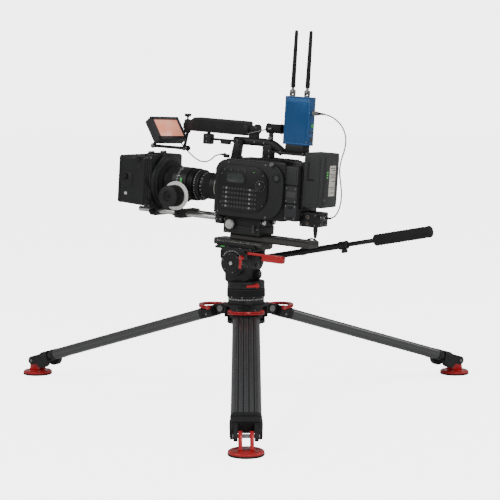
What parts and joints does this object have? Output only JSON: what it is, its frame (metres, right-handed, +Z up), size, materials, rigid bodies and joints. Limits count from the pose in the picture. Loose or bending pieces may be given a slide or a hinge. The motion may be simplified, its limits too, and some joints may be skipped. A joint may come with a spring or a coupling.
{
  "type": "film camera on tripod",
  "caption": "Digital film camera with matte box, follow focus, monitor and radio video link on a fluid head and a spread low tripod",
  "frame": {"origin": "On the floor under the pan axis, the middle of the three feet", "axes": "+Z up along the pan axis, the lens looks along -Y, +X to the operator's left"},
  "size_m": [1.389, 1.3281, 1.0364],
  "materials": {
    "black_paint": "satin powder coat",
    "dark_casting": "textured casting",
    "red_anodised": "satin",
    "blue_anodised": "anodised",
    "carbon": "satin woven tube",
    "steel": "ground",
    "bare_aluminium": "anodised clear",
    "grey_alloy": "satin",
    "body_grey": "fine texture",
    "panel_black": "fine texture",
    "unit_grey": "fine texture",
    "battery_grey": "moulded",
    "keys": "satin",
    "red_button": "gloss",
    "grip_rubber": "matt",
    "knob_black": "satin",
    "screen": "lit display",
    "lens_black": "satin anodised",
    "lens_coating": "coated",
    "white_disc": "satin",
    "cord_black": "matt",
    "cord_grey": "matt"
  },
  "bodies": {
    "stand": {"crown_casting": "dark_casting", "hinge_pins": "steel", "pan_base": "black_paint"},
    "tie_down": {"tie_down_knob": "knob_black"},
    "drag_ring": {"pan_drag_ring": "knob_black"},
    "pan_head": {"pan_housing": "black_paint"},
    "pan_brake": {"pan_brake_lever": "red_anodised"},
    "balance_knob": {"counterbalance_knob": "knob_black"},
    "tilt_head": {"tilt_axle": "steel", "tilt_yoke": "black_paint"},
    "tilt_brake": {"tilt_brake_lever": "red_anodised"},
    "plate_lever": {"plate_lock_lever": "red_anodised"},
    "pan_bar": {"pan_bar_tube": "black_paint", "pan_bar_grip": "grip_rubber"},
    "camera": {"slide_plate": "grey_alloy", "dovetail_plate": "grey_alloy", "bridge_block": "black_paint", "support_rods": "bare_aluminium", "camera_body": "body_grey", "side_panel": "panel_black", "control_buttons": "keys", "extension_unit": "unit_grey", "handle_frame": "grey_alloy", "handle_grip": "grip_rubber", "transmitter_box": "blue_anodised", "monitor_mount": "black_paint", "lens_barrel": "lens_black", "lens_glass": "lens_coating", "matte_box": "black_paint", "follow_focus": "black_paint", "monitor_cable": "cord_black", "transmitter_cable": "cord_grey"},
    "bridge_knob": {"bridge_lock_knob": "steel"},
    "record_key": {"record_button": "red_button"},
    "battery_pack": {"battery": "battery_grey"},
    "front_aerial": {"front_antenna": "knob_black"},
    "rear_aerial": {"rear_antenna": "knob_black"},
    "monitor": {"monitor_case": "panel_black", "monitor_screen": "screen"},
    "hand_wheel": {"focus_knob": "white_disc"},
    "focus_drive": {"drive_gear": "knob_black"},
    "focus_gear": {"focus_ring": "lens_black"},
    "front_leg": {"front_leg_shoulder": "dark_casting", "front_upper_tube": "carbon"},
    "front_brake": {"front_brake_lever": "red_anodised"},
    "front_middle": {"front_middle_tube": "carbon"},
    "front_lower": {"front_lower_stage": "knob_black"},
    "front_foot": {"front_foot_pad": "red_anodised"},
    "left_leg": {"left_leg_shoulder": "dark_casting", "left_upper_tube": "carbon"},
    "left_brake": {"left_brake_lever": "red_anodised"},
    "left_middle": {"left_middle_tube": "carbon"},
    "left_lower": {"left_lower_stage": "knob_black"},
    "left_foot": {"left_foot_pad": "red_anodised"},
    "right_leg": {"right_leg_shoulder": "dark_casting", "right_upper_tube": "carbon"},
    "right_brake": {"right_brake_lever": "red_anodised"},
    "right_middle": {"right_middle_tube": "carbon"},
    "right_lower": {"right_lower_stage": "knob_black"},
    "right_foot": {"right_foot_pad": "red_anodised"}
  },
  "joints": [
    {"name": "front_leg_spread", "type": "hinge", "parent": "stand", "child": "front_leg", "pos_m": [0, -0.072, 0.252], "axis": [1, 0, 0], "range_deg": [0, 62]},
    {"name": "front_brake_turn", "type": "hinge", "parent": "front_leg", "child": "front_brake", "pos_m": [0, -0.09912, 0.25526], "axis": [-1, 0, 0], "range_deg": [0, 35]},
    {"name": "front_middle_extend", "type": "slide", "parent": "front_leg", "child": "front_middle", "axis": [0, -0.9568, -0.2907], "range_m": [0, 0.36]},
    {"name": "front_lower_extend", "type": "slide", "parent": "front_middle", "child": "front_lower", "axis": [0, -0.9568, -0.2907], "range_m": [0, 0.36]},
    {"name": "front_foot_rock", "type": "hinge", "parent": "front_lower", "child": "front_foot", "pos_m": [0, -0.75, 0.046], "axis": [1, 0, 0], "range_deg": [-15, 15]},
    {"name": "left_leg_spread", "type": "hinge", "parent": "stand", "child": "left_leg", "pos_m": [0.06235, 0.036, 0.252], "axis": [-0.5, 0.866, 0], "range_deg": [0, 62]},
    {"name": "left_brake_turn", "type": "hinge", "parent": "left_leg", "child": "left_brake", "pos_m": [0.08584, 0.04956, 0.25526], "axis": [0.5, -0.866, 0], "range_deg": [0, 35]},
    {"name": "left_middle_extend", "type": "slide", "parent": "left_leg", "child": "left_middle", "axis": [0.8286, 0.4784, -0.2907], "range_m": [0, 0.36]},
    {"name": "left_lower_extend", "type": "slide", "parent": "left_middle", "child": "left_lower", "axis": [0.8286, 0.4784, -0.2907], "range_m": [0, 0.36]},
    {"name": "left_foot_rock", "type": "hinge", "parent": "left_lower", "child": "left_foot", "pos_m": [0.64952, 0.375, 0.046], "axis": [-0.5, 0.866, 0], "range_deg": [-15, 15]},
    {"name": "right_leg_spread", "type": "hinge", "parent": "stand", "child": "right_leg", "pos_m": [-0.06235, 0.036, 0.252], "axis": [-0.5, -0.866, 0], "range_deg": [0, 62]},
    {"name": "right_brake_turn", "type": "hinge", "parent": "right_leg", "child": "right_brake", "pos_m": [-0.08584, 0.04956, 0.25526], "axis": [0.5, 0.866, 0], "range_deg": [0, 35]},
    {"name": "right_middle_extend", "type": "slide", "parent": "right_leg", "child": "right_middle", "axis": [-0.8286, 0.4784, -0.2907], "range_m": [0, 0.36]},
    {"name": "right_lower_extend", "type": "slide", "parent": "right_middle", "child": "right_lower", "axis": [-0.8286, 0.4784, -0.2907], "range_m": [0, 0.36]},
    {"name": "right_foot_rock", "type": "hinge", "parent": "right_lower", "child": "right_foot", "pos_m": [-0.64952, 0.375, 0.046], "axis": [-0.5, -0.866, 0], "range_deg": [-15, 15]},
    {"name": "tie_down_turn", "type": "hinge", "parent": "stand", "child": "tie_down", "pos_m": [0, 0, 0.205], "axis": [0, 0, 1], "continuous": true},
    {"name": "pan_drag_turn", "type": "hinge", "parent": "stand", "child": "drag_ring", "pos_m": [0, 0, 0.3], "axis": [0, 0, 1], "range_deg": [-120, 120]},
    {"name": "pan_turn", "type": "hinge", "parent": "stand", "child": "pan_head", "pos_m": [0, 0, 0.33], "axis": [0, 0, 1], "continuous": true},
    {"name": "pan_brake_turn", "type": "hinge", "parent": "pan_head", "child": "pan_brake", "pos_m": [0.029, 0.05023, 0.324], "axis": [0.5, 0.866, 0], "range_deg": [-20, 30]},
    {"name": "balance_knob_turn", "type": "hinge", "parent": "pan_head", "child": "balance_knob", "pos_m": [-0.014, 0.03, 0.352], "axis": [0, 1, 0], "continuous": true},
    {"name": "tilt_turn", "type": "hinge", "parent": "pan_head", "child": "tilt_head", "pos_m": [0, -0.012, 0.388], "axis": [-1, 0, 0], "range_deg": [-38, 30]},
    {"name": "tilt_brake_turn", "type": "hinge", "parent": "tilt_head", "child": "tilt_brake", "pos_m": [0.06, 0.02225, 0.40465], "axis": [1, 0, 0], "range_deg": [-30, 60]},
    {"name": "plate_lever_turn", "type": "hinge", "parent": "tilt_head", "child": "plate_lever", "pos_m": [0.048, 0.04111, 0.41636], "axis": [0, -0.0698, -0.9976], "range_deg": [0, 50]},
    {"name": "plate_slide", "type": "slide", "parent": "tilt_head", "child": "camera", "axis": [0, -0.9976, 0.0698], "range_m": [-0.04, 0.04]},
    {"name": "pan_bar_angle", "type": "hinge", "parent": "tilt_head", "child": "pan_bar", "pos_m": [-0.088, -0.012, 0.388], "axis": [1, 0, 0], "range_deg": [-40, 25]},
    {"name": "bridge_knob_turn", "type": "hinge", "parent": "camera", "child": "bridge_knob", "pos_m": [0.053, -0.02135, 0.49792], "axis": [1, 0, 0], "continuous": true},
    {"name": "record_press", "type": "slide", "parent": "camera", "child": "record_key", "axis": [-1, 0, 0], "range_m": [0, 0.0015], "stiffness_N_per_m": 400},
    {"name": "battery_lift", "type": "slide", "parent": "camera", "child": "battery_pack", "axis": [0, 0.0698, 0.9976], "range_m": [0, 0.05]},
    {"name": "front_aerial_fold", "type": "hinge", "parent": "camera", "child": "front_aerial", "pos_m": [0.01, 0.15486, 0.86753], "axis": [0, 0.9976, -0.0698], "range_deg": [-85, 85]},
    {"name": "rear_aerial_fold", "type": "hinge", "parent": "camera", "child": "rear_aerial", "pos_m": [0.01, 0.19975, 0.86439], "axis": [0, 0.9976, -0.0698], "range_deg": [-85, 85]},
    {"name": "monitor_tilt", "type": "hinge", "parent": "camera", "child": "monitor", "pos_m": [0.05551, -0.25003, 0.74643], "axis": [0.9744, -0.2244, 0.0157], "range_deg": [-35, 35]},
    {"name": "focus_knob_turn", "type": "hinge", "parent": "camera", "child": "hand_wheel", "pos_m": [0.076, -0.18743, 0.57432], "axis": [1, 0, 0], "range_deg": [-400, 400]},
    {"name": "drive_gear_turn", "type": "hinge", "parent": "camera", "child": "focus_drive", "pos_m": [0.05434, -0.16548, 0.57278], "axis": [0, -0.9976, 0.0698], "range_deg": [-410, 410]},
    {"name": "focus_ring_turn", "type": "hinge", "parent": "camera", "child": "focus_gear", "pos_m": [0, -0.1633, 0.60408], "axis": [0, -0.9976, 0.0698], "range_deg": [-142, 142]}
  ],
  "couplings": [
    {"joint": "drive_gear_turn", "follows": "focus_knob_turn", "ratio": 1},
    {"joint": "focus_ring_turn", "follows": "focus_knob_turn", "ratio": -0.34483}
  ]
}
